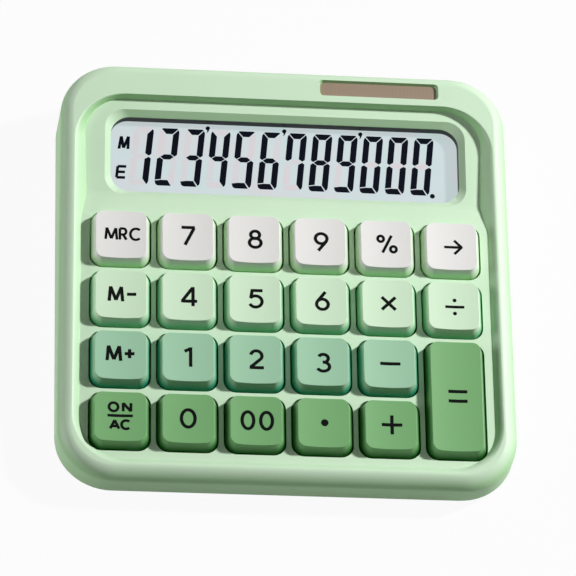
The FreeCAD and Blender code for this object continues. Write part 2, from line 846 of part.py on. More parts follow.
def make_solar_cell():
    foot = solar_place() * move(0, 0, -size("solar_sink") - size("solar_glass"))
    return centred_box(
        "solar_cell", "solar_width + 2 * solar_lap", "solar_length + 2 * solar_lap", "solar_glass", foot
    )


def make_board():
    """The circuit board on its posts, with the chip's resin blob below."""
    body = new_body("board_plate")
    outline = rounded_sketch(
        body, "Outline", "board_width", "board_back - board_front", "board_corner", "board_foot"
    )
    pad(body, outline, "board_thickness")
    middle_y = (size("board_front") + size("board_back")) / 2
    body.Placement = DECK * move(0, middle_y)
    hole = cylinder("board_hole", "screw_diameter + 4 * screw_clearance", "3 * board_thickness", move())
    below = move(0, 0, -size("board_thickness"))
    holes = copies("board_holes", hole, [place * below for place in board_screw_places()])
    chip_foot = DECK * move(0, KEYS["8"][1], size("board_foot") - size("chip_height"))
    chip = cylinder("chip_blob", "chip_diameter", "chip_height", chip_foot)
    board = doc.addObject("Part::Compound", "circuit_board")
    board.Links = [cut("board_drilled", body, holes), chip]
    return board


# Base cover with the battery bay, its door and the feet


def bay_middle(level):
    return move(0, size("battery_y"), level)


def door_profile(name, clearance, length, shift):
    """A dovetail strip, wider inside than outside, that lies along the slide."""
    body = new_body(name)
    narrow = f"door_width / 2 - door_bevel + ({clearance})"
    wide = f"door_width / 2 + ({clearance})"
    height = f"door_thickness + ({clearance})"
    points = [(f"-({narrow})", "0"), (narrow, "0"), (wide, height), (f"-({wide})", height)]
    sketch = polygon_sketch(body, "Profile", "XZ_Plane", points)
    pad(body, sketch, length, both_ways=True)
    body.Placement = bay_middle(size("foot_height")) * move(0, shift)
    return body


def make_door():
    """The sliding door, with three grip grooves across its outside."""
    strip = door_profile("door_strip", "0", "door_length", 0)
    groove = centred_box("door_groove", "grip_length", "grip_width", "grip_depth", move())
    step = 2 * size("grip_width")
    places = [bay_middle(size("foot_height")) * move(0, shift) for shift in (-step, 0, step)]
    return cut("battery_door", strip, copies("door_grooves", groove, places))


def foot_places(level):
    x = size("case_width") / 2 - size("foot_inset")
    y = size("case_length") / 2 - size("foot_inset")
    return [move(side * x, end * y, level) for side in (-1, 1) for end in (-1, 1)]


def make_cover():
    sheet = case_block("cover_plan", "case_wall + cover_clearance")
    plate = common("cover_plate", sheet, box_of_world("cover_slab", "foot_height", "cover_top"))
    wall_top = "bay_height + cover_thickness"
    bay = centred_box(
        "bay_block",
        "bay_length + 2 * bay_wall",
        "bay_width + 2 * bay_wall",
        wall_top,
        bay_middle(size("foot_height")),
    )
    room = centred_box(
        "bay_room", "bay_length", "bay_width", f"3 * ({wall_top})", bay_middle(-value(wall_top))
    )
    pocket_shift = -size("door_travel") / 2
    door_slot = door_profile(
        "door_slot", "door_clearance", "door_length + door_travel + 2 * door_clearance", pocket_shift
    )
    foot_across = "foot_diameter + 2 * foot_clearance"
    foot_hole = cylinder("foot_hole", foot_across, "foot_height + foot_socket", move())
    feet_holes = copies("foot_holes", foot_hole, foot_places(0))
    below = [place * move(0, 0, -value("head_height + 2 * foot_height")) for place in case_screw_places()]
    head_hole = cylinder(
        "head_hole", "head_diameter + 2 * head_clearance", "head_height + 2 * foot_height", move()
    )
    shank_across = "screw_diameter + 4 * screw_clearance"
    shank_hole = cylinder("shank_hole", shank_across, "4 * cover_thickness", move())
    head_holes = copies("head_holes", head_hole, below)
    shank_holes = copies("shank_holes", shank_hole, case_screw_places())
    whole = join("cover_whole", plate, bay)
    return cut("bottom_case", whole, room, door_slot, feet_holes, head_holes, shank_holes)


def make_feet():
    foot = cylinder("foot_master", "foot_diameter", "foot_height + foot_socket", move())
    return copies("rubber_feet", foot, foot_places(0))


def make_battery():
    """A slim dry cell lying across the back, its nub against the plus contact."""
    right = size("bay_length") / 2 - size("contact_thickness")
    axis = bay_middle(size("battery_level")) * move(right - size("battery_length")) * ALONG_X
    can = cylinder("battery_can", "battery_diameter", "battery_length - nub_height", axis)
    nub_foot = axis * move(0, 0, size("battery_length") - size("nub_height"))
    return join("battery", can, cylinder("battery_nub", "nub_diameter", "nub_height", nub_foot))


def make_contacts():
    """A flat plus plate, and a minus plate whose bent leaf presses on the cell."""
    half = size("bay_length") / 2
    foot = bay_middle(size("battery_level") - size("contact_width") / 2)
    thickness = size("contact_thickness")
    plus_foot = foot * move(half - thickness / 2)
    plus = centred_box("contact_plus", "contact_thickness", "contact_width", "contact_width", plus_foot)
    leaf = new_body("contact_minus")
    top = "contact_width / 2"
    reach = "contact_thickness + contact_spring"
    bend = "contact_thickness + contact_thickness"
    points = [
        ("0", f"-{top}"),
        (bend, f"-{top}"),
        (reach, "-contact_thickness"),
        (reach, "contact_thickness"),
        (f"{reach} - contact_thickness", "contact_thickness"),
        (f"{reach} - contact_thickness", "-contact_thickness / 2"),
        (bend, f"contact_thickness * 3 - {top}"),
        ("contact_thickness", f"contact_thickness * 3 - {top}"),
        ("contact_thickness", top),
        ("0", top),
    ]
    sketch = polygon_sketch(leaf, "Profile", "XZ_Plane", points)
    pad(leaf, sketch, "contact_width / 2", both_ways=True)
    leaf.Placement = bay_middle(size("battery_level")) * move(-half)
    contacts = doc.addObject("Part::Compound", "battery_contacts")
    contacts.Links = [plus, leaf]
    return contacts


def write_parts(nodes):
    doc.recompute()
    for item in doc.Objects:
        if "Invalid" in item.State or "Error" in item.State:
            raise RuntimeError(f"{item.Name} failed: {item.State}")
    os.makedirs("parts", exist_ok=True)
    for node in nodes:
        shape = node.Shape
        if shape.isNull() or not shape.isValid() or not shape.Solids:
            raise RuntimeError(f"{node.Name} has no valid solid")
        node.Label = node.Name
        shape.exportStep(f"parts/{node.Label}.step")
        print(f"{node.Label}: {len(shape.Solids)} solid(s), {shape.Volume:.1f} mm3")


def main():
    nodes = [make_top_case(), make_cover(), *make_display(), make_ribbon(), make_solar_cell(), make_board()]
    nodes += make_keys()
    nodes += [make_screws(), make_feet(), make_battery(), make_contacts(), make_door()]
    write_parts(nodes)


main()
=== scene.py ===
import json
import math
import bmesh
import bpy
from mathutils import Matrix, Vector


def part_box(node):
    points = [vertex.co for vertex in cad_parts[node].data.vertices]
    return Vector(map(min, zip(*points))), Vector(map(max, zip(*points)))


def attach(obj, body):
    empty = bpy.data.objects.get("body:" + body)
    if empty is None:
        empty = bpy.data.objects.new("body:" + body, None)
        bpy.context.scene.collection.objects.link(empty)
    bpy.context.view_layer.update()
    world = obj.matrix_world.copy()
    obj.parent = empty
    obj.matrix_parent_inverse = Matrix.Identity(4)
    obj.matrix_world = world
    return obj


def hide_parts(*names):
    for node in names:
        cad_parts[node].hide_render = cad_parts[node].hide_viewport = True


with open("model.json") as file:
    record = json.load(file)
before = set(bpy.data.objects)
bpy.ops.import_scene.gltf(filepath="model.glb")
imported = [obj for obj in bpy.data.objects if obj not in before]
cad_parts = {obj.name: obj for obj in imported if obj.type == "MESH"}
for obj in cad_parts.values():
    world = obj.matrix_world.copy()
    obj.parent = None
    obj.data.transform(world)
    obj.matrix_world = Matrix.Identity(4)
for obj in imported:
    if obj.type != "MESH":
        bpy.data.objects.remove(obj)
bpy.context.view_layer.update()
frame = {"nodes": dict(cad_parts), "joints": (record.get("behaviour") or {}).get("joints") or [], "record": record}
mm = 0.001  # sizes are written in millimetres, apart from those of the studio
touch = 0.01 * mm  # points nearer than this are in the same place
toolReach = 10.0  # how far a cutting tool stands out of what it cuts
holeDepth = 12.0  # more than the case is thick at the window and the solar slot
uprightShare = 0.3  # an edge that rises by more of its length than this is upright

# keys by row from the back, with the finish of each row
keyRows = [
    ["mrc", "7", "8", "9", "percent", "arrow"],
    ["m_minus", "4", "5", "6", "times", "divide"],
    ["m_plus", "1", "2", "3", "minus", "equals"],
    ["on_ac", "0", "00", "point", "plus"],
]
rowFinish = ["key_white", "key_light_green", "key_teal_green", "key_mid_green"]
tallKey = "equals"
keyFinish = {name: rowFinish[row] for row, names in enumerate(keyRows) for name in names}
keyFinish[tallKey] = "key_mid_green"


# working with the selection

def deselectAll():
    if bpy.context.object and bpy.context.object.mode != "OBJECT":
        bpy.ops.object.mode_set(mode="OBJECT")
    bpy.ops.object.select_all(action="DESELECT")


def makeActive(piece):
    deselectAll()
    piece.select_set(True)
    bpy.context.view_layer.objects.active = piece


def startEdit(piece):
    makeActive(piece)
    bpy.ops.object.mode_set(mode="EDIT")


def endEdit():
    bpy.ops.object.mode_set(mode="OBJECT")


def pick(kind, wanted):  # selects vertices, edges or faces of the piece in edit mode by a test
    bpy.ops.mesh.select_mode(type=kind)
    bpy.ops.mesh.select_all(action="DESELECT")
    shape = bmesh.from_edit_mesh(bpy.context.object.data)
    shape.normal_update()
    for item in {"VERT": shape.verts, "EDGE": shape.edges, "FACE": shape.faces}[kind]:
        if wanted(item):
            item.select_set(True)
    shape.select_flush_mode()
    bmesh.update_edit_mesh(bpy.context.object.data)


def bevelPicked(width, segments, affect="EDGES", profile=0.5):
    bpy.ops.mesh.bevel(
        offset=width * mm, segments=segments, affect=affect, profile=profile, clamp_overlap=False
    )


def applyModifier(piece, kind, **settings):
    makeActive(piece)
    bpy.ops.object.modifier_add(type=kind)
    modifier = piece.modifiers[-1]
    for name, setting in settings.items():
        setattr(modifier, name, setting)
    bpy.ops.object.modifier_apply(modifier=modifier.name)


def cutWith(piece, tool, operation="DIFFERENCE"):
    applyModifier(piece, "BOOLEAN", object=tool, operation=operation, solver="EXACT")
    bpy.data.objects.remove(tool)


def placeAt(piece, place):  # moves the mesh itself, so the object stays at the origin
    makeActive(piece)
    piece.matrix_world = place
    bpy.ops.object.transform_apply(location=True, rotation=True, scale=True)


def copyOf(piece, name):
    makeActive(piece)
    bpy.ops.object.duplicate(linked=False)
    twin = bpy.context.object
    twin.name = name
    return twin


def joinAll(pieces, name):
    makeActive(pieces[0])
    for piece in pieces:
        piece.select_set(True)
    bpy.ops.object.join()
    pieces[0].name = name
    return pieces[0]


def softShade(piece, angle):
    makeActive(piece)
    bpy.ops.object.shade_smooth_by_angle(angle=math.radians(angle))
    applyModifier(piece, "WEIGHTED_NORMAL", keep_sharp=True, weight=80)  # broad faces lead the shading


# blocks that most pieces start from

def block(name, low, high):
    deselectAll()
    middle = [(a + b) / 2 * mm for a, b in zip(low, high)]
    extent = [(b - a) * mm for a, b in zip(low, high)]
    bpy.ops.mesh.primitive_cube_add(size=1, location=middle, scale=extent)
    piece = bpy.context.object
    piece.name = name
    bpy.ops.object.transform_apply(location=True, rotation=True, scale=True)
    return piece


def isUpright(edge):
    along = edge.verts[1].co - edge.verts[0].co
    return abs(along.z) > uprightShare * along.length


def roundUprightEdges(piece, radius, segments):
    startEdit(piece)
    pick("EDGE", isUpright)
    bevelPicked(radius, segments)
    endEdit()


def atHeight(level):  # a test for an edge or face that lies at one height
    return lambda item: all(abs(vert.co.z - level * mm) < touch for vert in item.verts)


def resizeFace(piece, level, scaleX, scaleY, middleY):
    startEdit(piece)
    pick("FACE", atHeight(level))
    bpy.ops.transform.resize(value=(scaleX, scaleY, 1), center_override=(0, middleY * mm, level * mm))
    endEdit()


def raiseFace(piece, level, rise, scaleX=1.0, scaleY=1.0):  # extrudes a level face and resizes it
    startEdit(piece)
    pick("FACE", atHeight(level))
    bpy.ops.mesh.extrude_region_move(TRANSFORM_OT_translate={"value": (0, 0, rise * mm)})
    bpy.ops.transform.resize(value=(scaleX, scaleY, 1), center_override=(0, 0, (level + rise) * mm))
    endEdit()


# the tilted key deck, read from the frame

cap = {
    "skirt": 2.6,
    "rise": 3.54,
    "topSize": 15.2,
    "footTrim": 0.2,
    "topShift": 0.4,
    "corner": 3.6,
    "cornerSteps": 8,
    "dish": 0.5,
    "dishSteps": 720,
    "edge": 0.6,
    "edgeSteps": 4,
    "edgeAngle": 35,
    "softAngle": 40,
    "wall": 1.6,
    "ceiling": 1.4,
    "skirtShade": (0.2, 3.0),  # heights over the deck between which the painted shade on the skirt fades out
}
keyAxis = next(joint["axis"] for joint in frame["joints"] if joint["name"] == "press_5")
deckTilt = math.atan2(keyAxis[1], -keyAxis[2])


def underKey(name):  # the deck's own point under the middle of a cap
    low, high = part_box("key_" + name)
    half = (high.x - low.x) / 2
    y = low.y + half * math.cos(deckTilt)
    z = low.z + half * math.sin(deckTilt) + cap["skirt"] * mm * math.cos(deckTilt)
    return Vector(((low.x + high.x) / 2, y, z))


firstKey, farKey = underKey("on_ac"), underKey("arrow")
deckPlace = Matrix.Translation((firstKey + farKey) / 2) @ Matrix.Rotation(deckTilt, 4, "X")
toDeck = deckPlace.inverted()
keySpots = {name: toDeck @ underKey(name) / mm for names in keyRows for name in names}
pitchY = keySpots["7"].y - keySpots["4"].y
capSize = (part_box("key_5")[1].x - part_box("key_5")[0].x) / mm
keySpots[tallKey] = keySpots["divide"] + Vector((0, -1.5 * pitchY, 0))  # midway over two rows
print("deck tilt", round(math.degrees(deckTilt), 2), "cap", round(capSize, 2))


# upper case

case = {
    "halfWidth": 68.295,
    "front": -47.825,
    "back": 89.405,
    "rim": 2.0,
    "draft": 1.5,
    "corner": 17.0,
    "cornerSteps": 14,
    "shoulder": 4.0,
    "shoulderBulge": 0.42,
    "shoulderSteps": 10,
    "sideRim": 4.1,
    "backRim": 10.9,
    "recessLevels": (0, 0.06, 0.2, 0.5, 0.9, 1.4, 2.0, 2.7, 3.5, 6.4),  # depths below the rim
    "recessReach": 3.5,
    "recessCurve": 1.4,
    "recessSteps": 16,
    "backRun": 0.75,
    "backCurve": 2.0,
    "crestCorner": 15.5,
    "footCorner": 11.5,
    "wall": 3.0,
    "deckThickness": 2.0,
    "baseLevel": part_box("top_case")[0].z / mm,
    "baseEdge": 2.0,
    "baseSteps": 5,
    "keyGap": 0.3,
    "keyHoleSteps": 6,
    "fineEdge": 0.16,
    "fineSteps": 2,
    "fineAngle": 40,
    "softAngle": 32,
    "wallShade": (0.42, 0.9),  # upward lean of a face between which the painted shade on the walls fades out
}
ramp = {"start": 36.975, "foot": 45.975, "drop": 2.2, "tilt": 2.6, "round": 1.0, "roundSteps": 5}
window = {
    "middle": (0.65, 60.325),
    "width": 107.2,
    "length": 24.9,
    "corner": 5.5,
    "cornerSteps": 10,
    "bevel": 1.8,
    "sink": 1.7,
    "glassDepth": 4.9,
}
solar = {
    "middle": (29.25, 83.3),
    "width": 36.1,
    "length": 4.5,
    "corner": 1.2,
    "cornerSteps": 4,
    "bevel": 0.5,
    "sink": 1.1,
}


def facetLevel(y):
    return (y - ramp["foot"]) * math.tan(math.radians(ramp["tilt"])) - ramp["drop"]


windowX, windowY = window["middle"]
windowSpot = Vector((windowX, windowY, facetLevel(windowY))) * mm
facetTurn = Matrix.Rotation(math.radians(ramp["tilt"]), 4, "X")
facetPlace = deckPlace @ Matrix.Translation(windowSpot) @ facetTurn
slotSpot = Vector((*solar["middle"], case["rim"])) * mm
deep, wide = 60.0, 200.0  # further than any wall of the case reaches, down and sideways


def caseBlock(name, inset):
    flare = (deep + case["rim"]) * math.tan(math.radians(case["draft"]))
    half = case["halfWidth"] - inset
    front, back = case["front"] + inset, case["back"] - inset
    piece = block(name, (-half, front, -deep), (half, back, case["rim"]))
    scaleY = 1 + 2 * flare / (back - front)
    resizeFace(piece, -deep, 1 + flare / half, scaleY, (front + back) / 2)
    roundUprightEdges(piece, case["corner"] - inset, case["cornerSteps"])
    return piece


def outerBody():
    piece = caseBlock("upperCase", 0)
    startEdit(piece)
    pick("EDGE", atHeight(case["rim"]))
    bevelPicked(case["shoulder"], case["shoulderSteps"], profile=case["shoulderBulge"])
    endEdit()
    placeAt(piece, deckPlace)
    startEdit(piece)
    bpy.ops.mesh.select_all(action="SELECT")
    bpy.ops.mesh.bisect(
        plane_co=(0, 0, case["baseLevel"] * mm), plane_no=(0, 0, 1), use_fill=True, clear_inner=True
    )
    pick("EDGE", atHeight(case["baseLevel"]))
    bevelPicked(case["baseEdge"], case["baseSteps"])
    endEdit()
    return piece


def isOnLine(y, z):  # a test for a vertex on a line across the case
    return lambda vert: abs(vert.co.y - y * mm) < touch and abs(vert.co.z - z * mm) < touch


def underFloor(name, sink):  # the solid below the deck, the ramp and the display facet
    piece = block(name, (-wide, -wide, -deep - 2 * toolReach), (wide, wide, 0))
    startEdit(piece)
    for y in (ramp["start"], ramp["foot"]):
        bpy.ops.mesh.select_all(action="SELECT")
        bpy.ops.mesh.bisect(plane_co=(0, y * mm, 0), plane_no=(0, 1, 0))
    for y, level in ((ramp["foot"], -ramp["drop"]), (wide, facetLevel(wide))):
        pick("VERT", isOnLine(y, 0))
        bpy.ops.transform.translate(value=(0, 0, level * mm))
    kinks = [isOnLine(ramp["start"], 0), isOnLine(ramp["foot"], -ramp["drop"])]
    pick("EDGE", lambda edge: any(all(isOnKink(vert) for vert in edge.verts) for isOnKink in kinks))
    bevelPicked(ramp["round"], ramp["roundSteps"])
    bpy.ops.mesh.select_all(action="SELECT")
    bpy.ops.transform.translate(value=(0, 0, -sink * mm))
    endEdit()
    return piece


def recessPlate(depth):  # the tray's outline at one depth below the rim
    share = depth / case["recessReach"]
    run = case["recessReach"] * share ** (1 / case["recessCurve"])
    half = case["halfWidth"] - case["sideRim"] - run
    front = case["front"] + case["sideRim"] + run
    back = case["back"] - case["backRim"] - case["backRun"] * share ** (1 / case["backCurve"])
    corner = case["crestCorner"] + (case["footCorner"] - case["crestCorner"]) * min(share, 1)
    middle = (0, (front + back) / 2 * mm, (case["rim"] - depth) * mm)
    deselectAll()
    bpy.ops.mesh.primitive_plane_add(size=1, location=middle)
    plate = bpy.context.object
    plate.scale = (2 * half * mm, (back - front) * mm, 1)
    bpy.ops.object.transform_apply(location=True, rotation=True, scale=True)
    startEdit(plate)
    bpy.ops.mesh.select_all(action="SELECT")
    bevelPicked(corner, case["recessSteps"], affect="VERTICES")
    endEdit()
    return plate


def recessTool():  # the tray: walls that roll over from the rim and steepen down to the floor
    depths = case["recessLevels"]
    piece = joinAll([recessPlate(depth) for depth in depths], "recess")
    heights = [case["rim"] - depth for depth in depths]
    startEdit(piece)
    pick("FACE", lambda face: any(atHeight(height)(face) for height in heights[1:-1]))
    bpy.ops.mesh.delete(type="ONLY_FACE")
    for upper, lower in zip(heights, heights[1:]):
        pick("EDGE", lambda edge: atHeight(upper)(edge) or atHeight(lower)(edge))
        bpy.ops.mesh.bridge_edge_loops()
    bpy.ops.mesh.select_all(action="SELECT")
    bpy.ops.mesh.normals_make_consistent(inside=False)
    endEdit()
    raiseFace(piece, case["rim"], toolReach)
    cutWith(piece, underFloor("floor", 0))
    placeAt(piece, deckPlace)
    return piece


def cavityTool():  # the room under the deck
    piece = caseBlock("room", case["wall"])
    cutWith(piece, underFloor("roomFloor", case["deckThickness"]), "INTERSECT")
    placeAt(piece, deckPlace)
    return piece


def keyHoles():
    tools = []
    half, gap = capSize / 2, case["keyGap"]
    for name, spot in keySpots.items():
        reachY = half + pitchY / 2 if name == tallKey else half
        low = (spot.x - half - gap, spot.y - reachY - gap, -toolReach)
        high = (spot.x + half + gap, spot.y + reachY + gap, toolReach)
        tool = block("hole_" + name, low, high)
        roundUprightEdges(tool, cap["corner"] + gap, case["keyHoleSteps"])
        tools.append(tool)
    holes = joinAll(tools, "keyHoles")
    placeAt(holes, deckPlace)
    return holes


def sunkTool(name, hole, place):  # a hole with a bevelled mouth
    width, length, bevel, sink = hole["width"], hole["length"], hole["bevel"], hole["sink"]
    piece = block(name, (-width / 2, -length / 2, -holeDepth), (width / 2, length / 2, -sink))
    raiseFace(piece, -sink, sink, 1 + 2 * bevel / width, 1 + 2 * bevel / length)
    roundUprightEdges(piece, hole["corner"], hole["cornerSteps"])
    raiseFace(piece, 0, toolReach)
    placeAt(piece, place)
    return piece


def makeUpperCase():
    piece = outerBody()
    cutWith(piece, recessTool())
    cutWith(piece, cavityTool())
    cutWith(piece, keyHoles())
    cutWith(piece, sunkTool("window", window, facetPlace))
    cutWith(piece, sunkTool("solarSlot", solar, deckPlace @ Matrix.Translation(slotSpot)))
    applyModifier(
        piece, "BEVEL", width=case["fineEdge"] * mm, segments=case["fineSteps"], limit_method="ANGLE",
        angle_limit=math.radians(case["fineAngle"]), use_clamp_overlap=True,
    )
    softShade(piece, case["softAngle"])
    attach(piece, "case")
    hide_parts("top_case")
    return piece


upperCase = makeUpperCase()
print("upper case faces", len(upperCase.data.polygons))


# key caps

def capSolid(name, length):
    skirt, trim = cap["skirt"], cap["footTrim"]
    half, reach = capSize / 2 - trim, length / 2 - trim
    piece = block(name, (-half, -reach, -skirt), (half, reach, 0))
    roundUprightEdges(piece, cap["corner"], cap["cornerSteps"])
    startEdit(piece)  # slope the sides in to the top, then hollow the skirt from below
    pick("FACE", atHeight(0))
    bpy.ops.mesh.inset(thickness=(half - cap["topSize"] / 2) * mm, depth=0)
    bpy.ops.transform.translate(value=(0, cap["topShift"] * mm, cap["rise"] * mm))
    pick("FACE", atHeight(-skirt))
    bpy.ops.mesh.inset(thickness=cap["wall"] * mm, depth=0)
    rise = skirt + cap["rise"] - cap["ceiling"]
    bpy.ops.mesh.extrude_region_move(TRANSFORM_OT_translate={"value": (0, 0, rise * mm)})
    endEdit()
    radius = cap["dish"] / 2 + cap["topSize"] ** 2 / 8 / cap["dish"]  # from the dish's depth and width
    deselectAll()
    bpy.ops.mesh.primitive_cylinder_add(
        vertices=cap["dishSteps"],
        radius=radius * mm,
        depth=3 * length * mm,  # well past both ends of the cap
        location=(0, 0, (cap["rise"] - cap["dish"] + radius) * mm),
        rotation=(math.pi / 2, 0, 0),
    )
    bowl = bpy.context.object
    bpy.ops.object.transform_apply(location=True, rotation=True, scale=True)
    cutWith(piece, bowl)
    applyModifier(
        piece, "BEVEL", width=cap["edge"] * mm, segments=cap["edgeSteps"], limit_method="ANGLE",
        angle_limit=math.radians(cap["edgeAngle"]),
    )
    softShade(piece, cap["softAngle"])
    return piece


def makeCaps():
    square, tall = capSolid("squareCap", capSize), capSolid("tallCap", capSize + pitchY)
    pieces = {}
    for name, spot in keySpots.items():
        piece = copyOf(tall if name == tallKey else square, "cap_" + name)
        placeAt(piece, deckPlace @ Matrix.Translation(spot * mm))
        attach(piece, "key_body_" + name)
        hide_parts("key_" + name)
        pieces[name] = piece
    for master in (square, tall):
        bpy.data.objects.remove(master)
    return pieces


caps = makeCaps()
print("caps", len(caps))


# printed legends

legend = {
    "stroke": 0.96,
    "shift": (0.35, 0.38),
    "grow": 1.03,
    "hover": 2.0,  # height over the cap from which a legend is pressed onto it
    "lift": 0.015,
    "ink": 0.02,
    "step": 0.5,
    "nudge": {
        "mrc": (0.4, 0.1), "7": (-0.2, 0.4), "arrow": (0.2, -0.25), "divide": (0, -0.4),
        "m_plus": (-0.5, 0.4), "1": (-0.35, 0), "3": (0, -0.4), "on_ac": (-0.35, 0.2), "0": (-0.35, 0),
    },
}


def flatShape(name, outlines):  # a flat filled curve turned into a mesh
    curve = bpy.data.curves.new(name, "CURVE")
    curve.dimensions = "2D"
    curve.fill_mode = "BOTH"
    for outline in outlines:
        spline = curve.splines.new("POLY")
        spline.points.add(len(outline) - 1)
        for point, (x, y) in zip(spline.points, outline):
            point.co = (x * mm, y * mm, 0, 1)
        spline.use_cyclic_u = True
    piece = bpy.data.objects.new(name, curve)
    bpy.context.scene.collection.objects.link(piece)
    makeActive(piece)
    bpy.ops.object.convert(target="MESH")
    return bpy.context.object


def arc(x, y, radiusX, radiusY, start, end, count=22):
    angles = [math.radians(start + (end - start) * step / count) for step in range(count + 1)]
    return [(x + radiusX * math.cos(angle), y + radiusY * math.sin(angle)) for angle in angles]


def ring(x, y, radiusX, radiusY):  # a closed stroke
    return arc(x, y, radiusX, radiusY, 0, 360, 36)[:-1] + ["closed"]


def finer(points):  # short steps, so that a stroke can follow the dish of a cap
    result = [points[0]]
    for (x1, y1), (x2, y2) in zip(points, points[1:]):
        count = max(1, round(math.dist((x1, y1), (x2, y2)) / legend["step"]))
        for step in range(1, count + 1):
            result.append((x1 + (x2 - x1) * step / count, y1 + (y2 - y1) * step / count))
    return result


def ribbon(points, width):  # the outline of a stroke of even width
    closed = points[-1] == "closed"
    points = points[:-1] if closed else finer(points)
    last, left, right = len(points) - 1, [], []
    for index, point in enumerate(points):
        before = points[index - 1] if index or closed else point
        after = points[0 if index == last else index + 1] if index < last or closed else point
        along = (Vector(after) - Vector(before)).normalized() * width / 2
        left.append((point[0] - along.y, point[1] + along.x))
        right.append((point[0] + along.y, point[1] - along.x))
    return [left, right] if closed else [left + right[::-1]]


def disc(x, y, radius, count=24):
    angles = [2 * math.pi * step / count for step in range(count)]
    return [(x + radius * math.cos(angle), y + radius * math.sin(angle)) for angle in angles]


def moved(strokes, x, y, scaleX, scaleY):
    def place(point):
        return point if point == "closed" else (x + point[0] * scaleX, y + point[1] * scaleY)

    return [[place(point) for point in points] for points in strokes]


# middle lines of the figures, 6.1 tall outside, and of the letters in a unit box
sixTail = [(0.9, 2.95), (-1.34, 0.02)]
figureStrokes = {
    "0": [ring(0, 0, 1.95, 2.68)],
    "1": [[(-1.0, 1.75), (0.75, 2.62)], [(0.75, 3.05), (0.75, -3.05)]],
    "2": [arc(-0.05, 1.05, 1.62, 1.6, 168, -32) + [(-1.62, -2.42)], [(-2.0, -2.63), (2.1, -2.63)]],
    "3": [arc(-0.05, 1.38, 1.42, 1.25, 155, -95), arc(-0.1, -1.22, 1.82, 1.42, 95, -155)],
    "4": [[(1.15, 3.05), (1.15, -3.05)], [(1.0, 2.75), (-1.95, -1.45)], [(-2.3, -1.5), (2.35, -1.5)]],
    "5": [
        [(-1.2, 2.63), (1.95, 2.63)],
        [(-1.0, 3.0), (-1.45, 0.1)],
        arc(-0.1, -0.85, 1.9, 1.79, 142, -152),
    ],
    "6": [ring(0, -1.0, 1.7, 1.63), sixTail],
    "7": [[(-1.95, 2.63), (1.95, 2.63)], [(1.75, 2.5), (-0.95, -3.05)]],
    "8": [ring(0, 1.42, 1.3, 1.22), ring(0, -1.15, 1.7, 1.48)],
    "9": [ring(0, 1.0, 1.7, 1.63), [(-x, -y) for x, y in sixTail]],
}
letterStrokes = {
    "A": [[(-0.5, -0.5), (0, 0.5)], [(0, 0.5), (0.5, -0.5)], [(-0.32, -0.2), (0.32, -0.2)]],
    "C": [arc(0, 0, 0.5, 0.5, 47, 313)],
    "E": [
        [(-0.5, 0.5), (-0.5, -0.5)],
        [(-0.5, 0.5), (0.5, 0.5)],
        [(-0.5, 0), (0.42, 0)],
        [(-0.5, -0.5), (0.5, -0.5)],
    ],
    "M": [
        [(-0.5, -0.5), (-0.4, 0.5)],
        [(-0.4, 0.5), (0, -0.42)],
        [(0, -0.42), (0.4, 0.5)],
        [(0.4, 0.5), (0.5, -0.5)],
    ],
    "N": [[(-0.5, -0.5), (-0.5, 0.5)], [(-0.5, 0.5), (0.5, -0.5)], [(0.5, -0.5), (0.5, 0.5)]],
    "O": [ring(0, 0, 0.5, 0.5)],
    "R": [
        [(-0.5, -0.5), (-0.5, 0.5)],
        [(-0.5, 0.5), (0.05, 0.5)] + arc(0.05, 0.23, 0.4, 0.27, 90, -90) + [(-0.5, -0.04)],
        [(0.0, -0.04), (0.5, -0.5)],
    ],
}


def letter(name, x, y, width, height):
    return moved(letterStrokes[name], x, y, width, height)


memoryLetter = letter("M", -1.75, 0, 3.9, 4.6)
signStrokes = {
    "minus": [[(-2.95, 0), (2.95, 0)]],
    "plus": [[(-2.95, 0), (2.95, 0)], [(0, -2.95), (0, 2.95)]],
    "times": [[(-2.0, -2.0), (2.0, 2.0)], [(-2.0, 2.0), (2.0, -2.0)]],
    "divide": [[(-2.8, 0), (2.8, 0)]],
    "equals": [[(-2.75, 1.5), (2.75, 1.5)], [(-2.75, -1.5), (2.75, -1.5)]],
    "arrow": [[(-2.7, 0), (2.4, 0)], [(0.3, 2.2), (2.55, -0.12)], [(0.3, -2.2), (2.55, 0.12)]],
    "point": [],
    "percent": [
        ring(-1.85, 1.65, 0.88, 0.95),
        ring(1.85, -1.65, 0.88, 0.95),
        [(1.35, 2.8), (-1.35, -2.8)],
    ],
    "00": moved(figureStrokes["0"], -2.68, 0, 0.86, 0.98) + moved(figureStrokes["0"], 2.68, 0, 0.86, 0.98),
    "mrc": letter("M", -3.6, 0, 3.3, 3.7) + letter("R", -0.15, 0, 1.9, 3.6) + letter("C", 3.55, 0, 3.2, 3.6),
    "m_minus": memoryLetter + [[(1.45, 0), (4.1, 0)]],
    "m_plus": memoryLetter + [[(1.35, 0), (4.15, 0)], [(2.75, -1.4), (2.75, 1.4)]],
    "on_ac": (
        letter("O", -1.9, 2.65, 2.6, 2.6)
        + letter("N", 1.95, 2.65, 2.2, 2.6)
        + [[(-3.6, 0), (3.6, 0)]]
        + letter("A", -1.55, -2.75, 2.5, 2.6)
        + letter("C", 1.7, -2.75, 2.6, 2.6)
    ),
}
signDots = {"divide": [disc(0, 2.1, 0.58), disc(0, -2.1, 0.58)], "point": [disc(0, 0, 1.08)]}
signWidths = {"divide": 0.82, "arrow": 0.8, "percent": 0.84, "mrc": 0.76, "on_ac": 0.8}


def legendShapes(name):
    strokes = signStrokes[name] if name in signStrokes else figureStrokes[name]
    width = signWidths.get(name, legend["stroke"])
    outlines = [ribbon(points, width) for points in strokes] + [[dot] for dot in signDots.get(name, [])]
    return [flatShape("mark", outline) for outline in outlines]


